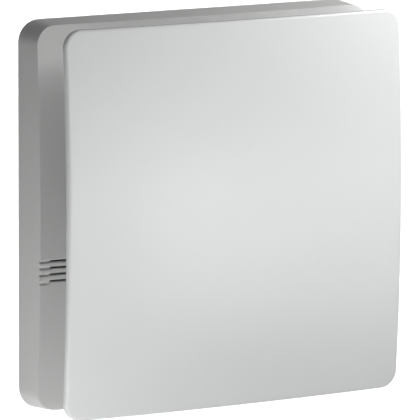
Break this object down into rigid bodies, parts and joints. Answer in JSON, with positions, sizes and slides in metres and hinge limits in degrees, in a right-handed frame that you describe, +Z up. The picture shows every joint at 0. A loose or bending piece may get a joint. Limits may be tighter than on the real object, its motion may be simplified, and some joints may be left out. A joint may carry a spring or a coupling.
{
  "type": "ceiling access point",
  "caption": "Square wireless access point: vented domed rear shell on a lift-off wall bracket, with a thin domed front cover held clear of the shell by a hidden tower.",
  "frame": {"origin": "centre of the bracket's four screw holes, on the plane of the wall", "axes": "+Z up the wall, +Y into the wall, so the front cover faces -Y, +X to the right seen from the front"},
  "size_m": [0.2014, 0.0559, 0.2014],
  "materials": {
    "shell_plastic": "fine moulded texture",
    "cover_plastic": "fine moulded texture",
    "cast_plate": "bead blasted",
    "bracket_steel": "zinc plated",
    "spring_steel": "tempered",
    "fastener_steel": "zinc plated",
    "board_green": "solder mask",
    "heat_metal": "milled",
    "pad_silicone": "soft",
    "chip_black": "moulded epoxy",
    "can_tin": "tinned",
    "jack_black": "moulded",
    "contact_gold": "gold plated",
    "button_white": "moulded",
    "ferrite": "sintered",
    "capacitor_can": "sleeved",
    "carrier_plastic": "moulded",
    "antenna_tin": "tin plated",
    "cable_jacket": "extruded",
    "grommet_rubber": "soft"
  },
  "bodies": {
    "bracket": {"wall_bracket": "bracket_steel", "bracket_springs": "spring_steel", "spring_rivets": "fastener_steel"},
    "unit": {"rear_shell": "shell_plastic", "antenna_tower": "shell_plastic", "base_plate": "cast_plate", "shell_screws": "fastener_steel", "main_board": "board_green", "board_screws": "fastener_steel", "heat_spreader": "heat_metal", "spreader_screws": "fastener_steel", "thermal_pads": "pad_silicone", "processor": "chip_black", "memory_chips": "chip_black", "shield_can_left": "can_tin", "shield_can_right": "can_tin", "ethernet_jack": "jack_black", "ethernet_contacts": "contact_gold", "power_jack": "jack_black", "power_jack_pin": "contact_gold", "reset_switch": "jack_black", "ethernet_transformer": "chip_black", "power_transformer": "ferrite", "power_inductor": "chip_black", "bulk_capacitors": "capacitor_can", "coax_plugs": "contact_gold", "antenna_carrier": "carrier_plastic", "antenna_reflector": "heat_metal", "carrier_screws": "fastener_steel", "cover_grommets": "grommet_rubber", "coax_cable_upper_left": "cable_jacket", "coax_cable_upper_right": "cable_jacket", "coax_cable_lower_left": "cable_jacket", "coax_cable_lower_right": "cable_jacket", "antenna_upper_left": "antenna_tin", "antenna_upper_right": "antenna_tin", "antenna_lower_left": "antenna_tin", "antenna_lower_right": "antenna_tin"},
    "cover": {"front_cover": "cover_plastic"},
    "button": {"reset_button": "button_white"}
  },
  "joints": [
    {"name": "unit_lift", "type": "slide", "parent": "bracket", "child": "unit", "axis": [0, 0, 1], "range_m": [0, 0.01]},
    {"name": "cover_pull", "type": "slide", "parent": "unit", "child": "cover", "axis": [0, -1, 0], "range_m": [0, 0.03]},
    {"name": "reset_press", "type": "slide", "parent": "unit", "child": "button", "axis": [0, 0, 1], "range_m": [0, 0.0005], "stiffness_N_per_m": 1500, "springref_m": -0.0003}
  ]
}
